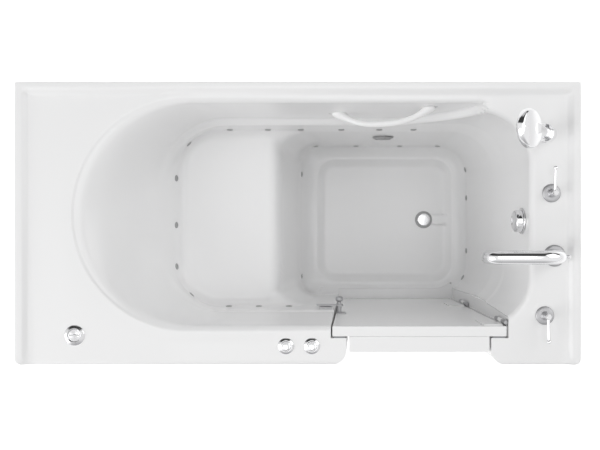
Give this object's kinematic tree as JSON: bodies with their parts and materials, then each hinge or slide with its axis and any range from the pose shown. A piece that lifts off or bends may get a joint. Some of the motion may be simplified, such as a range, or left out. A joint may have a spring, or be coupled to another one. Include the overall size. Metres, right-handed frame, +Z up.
{
  "type": "walk-in air jetted bathtub",
  "caption": "Walk-in air bath with moulded seat, footwell, inward-swinging door, wall air jets, deck taps and hand shower on a steel frame",
  "frame": {"origin": "on the floor under the middle of the tub", "axes": "+X to the tap end, -Y to the door, +Z up"},
  "size_m": [1.524, 0.762, 1.1741],
  "materials": {
    "acrylic": "glossy white sanitary acrylic",
    "chrome": "polished chrome",
    "white_plastic": "white plumbing plastic",
    "grey_plastic": "grey moulded plastic",
    "steel": "zinc plated square tube",
    "motor_paint": "black enamel",
    "board": "plain plywood",
    "rubber": "soft black rubber",
    "lens": "frosted clear lens",
    "brass": "raw brass casting"
  },
  "bodies": {
    "tub": {"tub_shell": "acrylic", "left_jamb": "acrylic", "right_jamb": "acrylic", "door_sill": "acrylic", "apron_panels": "acrylic", "grab_bar": "acrylic", "hinge_brackets": "chrome", "hinge_pins": "chrome", "strike_plate": "chrome", "deck_bezels": "chrome", "tap_roses": "chrome", "spout": "chrome", "shower_holder": "chrome", "light_bezel": "chrome", "drain_flange": "chrome", "overflow_plate": "chrome", "apron_screws": "chrome", "air_jets": "chrome", "air_manifolds": "white_plastic", "air_pipes": "white_plastic", "check_valve": "white_plastic", "jet_nuts": "white_plastic", "deck_switch_bodies": "white_plastic", "deck_nuts": "white_plastic", "light_body": "white_plastic", "drain_shoe": "white_plastic", "overflow_pipe": "white_plastic", "blower_housing": "grey_plastic", "blower_cover": "grey_plastic", "control_box": "grey_plastic", "spout_aerator": "grey_plastic", "base_rails": "steel", "cross_rails": "steel", "frame_posts": "steel", "foot_studs": "steel", "grab_bar_fixings": "steel", "blower_bracket": "steel", "blower_motor": "motor_paint", "seat_support": "board", "floor_board": "board", "foot_pads": "rubber", "light_lens": "lens", "valve_bodies": "brass"},
    "door": {"door_panel": "acrylic", "door_outer_skin": "acrylic", "door_seal": "rubber", "hinge_straps": "chrome", "latch_plate": "chrome"},
    "latch": {"latch_lever": "chrome"},
    "hot_tap": {"hot_lever": "chrome"},
    "cold_tap": {"cold_lever": "chrome"},
    "diverter": {"diverter_knob": "chrome"},
    "handset": {"hand_shower": "chrome", "spray_face": "grey_plastic"},
    "overflow_dial": {"overflow_knob": "chrome"},
    "stopper": {"drain_stopper": "white_plastic"},
    "air_switch": {"air_button": "chrome"},
    "light_switch": {"light_button": "chrome"},
    "air_dial": {"air_control_knob": "chrome"},
    "impeller": {"blower_impeller": "grey_plastic"}
  },
  "joints": [
    {"name": "door_swing", "type": "hinge", "parent": "tub", "child": "door", "pos_m": [0.56667, -0.269, 0.6], "axis": [0, 0, -1], "range_deg": [0, 88]},
    {"name": "latch_turn", "type": "hinge", "parent": "door", "child": "latch", "pos_m": [0.12687, -0.25, 0.66], "axis": [0, 1, 0], "range_deg": [0, 90]},
    {"name": "hot_turn", "type": "hinge", "parent": "tub", "child": "hot_tap", "pos_m": [0.685, 0.08192, 0.98], "axis": [0, 0, 1], "range_deg": [0, 90]},
    {"name": "cold_turn", "type": "hinge", "parent": "tub", "child": "cold_tap", "pos_m": [0.667, -0.24841, 0.98], "axis": [0, 0, -1], "range_deg": [0, 90]},
    {"name": "diverter_lift", "type": "slide", "parent": "tub", "child": "diverter", "axis": [0, 0, 1], "range_m": [0, 0.012]},
    {"name": "handset_lift", "type": "slide", "parent": "tub", "child": "handset", "axis": [-0.4728, -0.0355, 0.8805], "range_m": [0, 0.08]},
    {"name": "overflow_turn", "type": "hinge", "parent": "tub", "child": "overflow_dial", "pos_m": [0.61, 0.00686, 0.878], "axis": [-1, 0, 0], "range_deg": [0, 90]},
    {"name": "stopper_lift", "type": "slide", "parent": "tub", "child": "stopper", "axis": [0, 0, 1], "range_m": [0, 0.01]},
    {"name": "air_press", "type": "slide", "parent": "tub", "child": "air_switch", "axis": [0, 0, -1], "range_m": [0, 0.003], "stiffness_N_per_m": 400},
    {"name": "light_press", "type": "slide", "parent": "tub", "child": "light_switch", "axis": [0, 0, -1], "range_m": [0, 0.003], "stiffness_N_per_m": 400},
    {"name": "air_dial_turn", "type": "hinge", "parent": "tub", "child": "air_dial", "pos_m": [-0.603, -0.302, 0.952], "axis": [0, 0, 1], "range_deg": [0, 180]},
    {"name": "impeller_spin", "type": "hinge", "parent": "tub", "child": "impeller", "pos_m": [-0.56, 0.0701, 0.2], "axis": [0, 0, 1], "continuous": true}
  ],
  "couplings": [
    {"joint": "stopper_lift", "follows": "overflow_turn", "m_per_rad": 0.006366}
  ]
}
